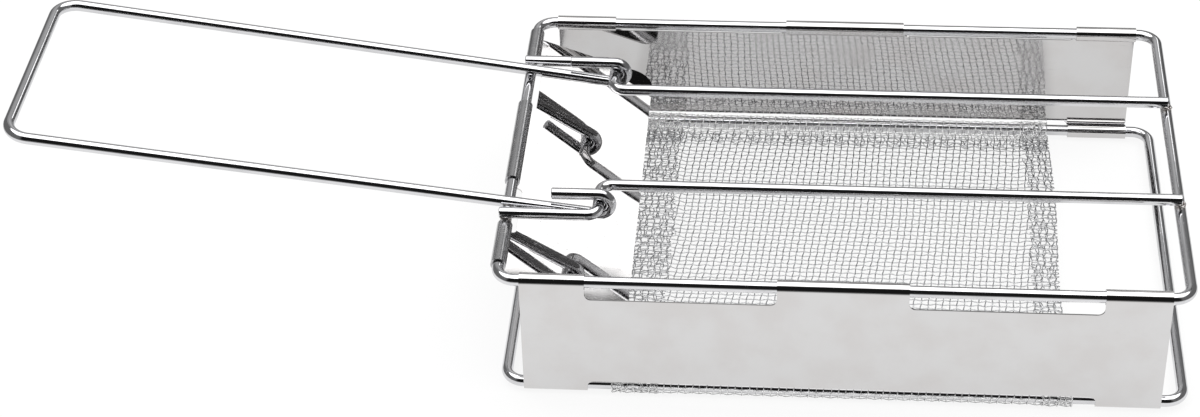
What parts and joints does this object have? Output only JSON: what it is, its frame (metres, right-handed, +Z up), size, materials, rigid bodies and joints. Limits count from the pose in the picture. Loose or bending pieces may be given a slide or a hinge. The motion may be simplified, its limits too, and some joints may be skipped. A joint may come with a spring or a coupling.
{
  "type": "folding camping bread toaster",
  "caption": "Folding stove-top bread toaster: wire frames, hinged side plates, woven wire mesh floor, grill rods and a wire handle that folds over.",
  "frame": {"origin": "on the stove, under the middle of the box between the two long rails and the two short rails", "axes": "+X along the box away from the handle, +Y towards the back side plate, +Z up"},
  "size_m": [0.3545, 0.1402, 0.0671],
  "materials": {
    "bright_wire": "bright drawn stainless steel wire, electropolished",
    "bright_sheet": "thin stainless steel sheet, bright annealed, nearly a mirror",
    "woven_mesh": "plain woven stainless steel wire mesh"
  },
  "bodies": {
    "base": {"lower_frame": "bright_wire", "mesh_edge_near": "woven_mesh", "mesh_edge_far": "woven_mesh", "mesh_cross_wires": "woven_mesh", "mesh_long_wires": "woven_mesh"},
    "front_plate": {"side_plate_front": "bright_sheet"},
    "top": {"upper_frame": "bright_wire", "grill_rod_near": "bright_wire", "grill_rod_far": "bright_wire"},
    "back_plate": {"side_plate_back": "bright_sheet"},
    "end_flap": {"end_plate": "bright_sheet"},
    "handle_bow": {"handle": "bright_wire"}
  },
  "joints": [
    {"name": "fold", "type": "hinge", "parent": "base", "child": "front_plate", "pos_m": [0, -0.0675, 0.00261], "axis": [-1, 0, 0], "range_deg": [0, 80]},
    {"name": "top_follow", "type": "hinge", "parent": "front_plate", "child": "top", "pos_m": [0, -0.0675, 0.04111], "axis": [-1, 0, 0], "range_deg": [-80, 0]},
    {"name": "back_follow", "type": "hinge", "parent": "base", "child": "back_plate", "pos_m": [0, 0.0675, 0.00261], "axis": [-1, 0, 0], "range_deg": [0, 80]},
    {"name": "end_flap_swing", "type": "hinge", "parent": "top", "child": "end_flap", "pos_m": [-0.1, 0, 0.04111], "axis": [0, -1, 0], "range_deg": [0, 19.4]},
    {"name": "handle_fold", "type": "hinge", "parent": "top", "child": "handle_bow", "pos_m": [-0.0725, 0, 0.04451], "axis": [0, 1, 0], "range_deg": [0, 173]}
  ],
  "couplings": [
    {"joint": "top_follow", "follows": "fold", "ratio": -1},
    {"joint": "back_follow", "follows": "fold", "ratio": 1},
    {"joint": "end_flap_swing", "follows": "fold", "ratio": 0.2425}
  ]
}
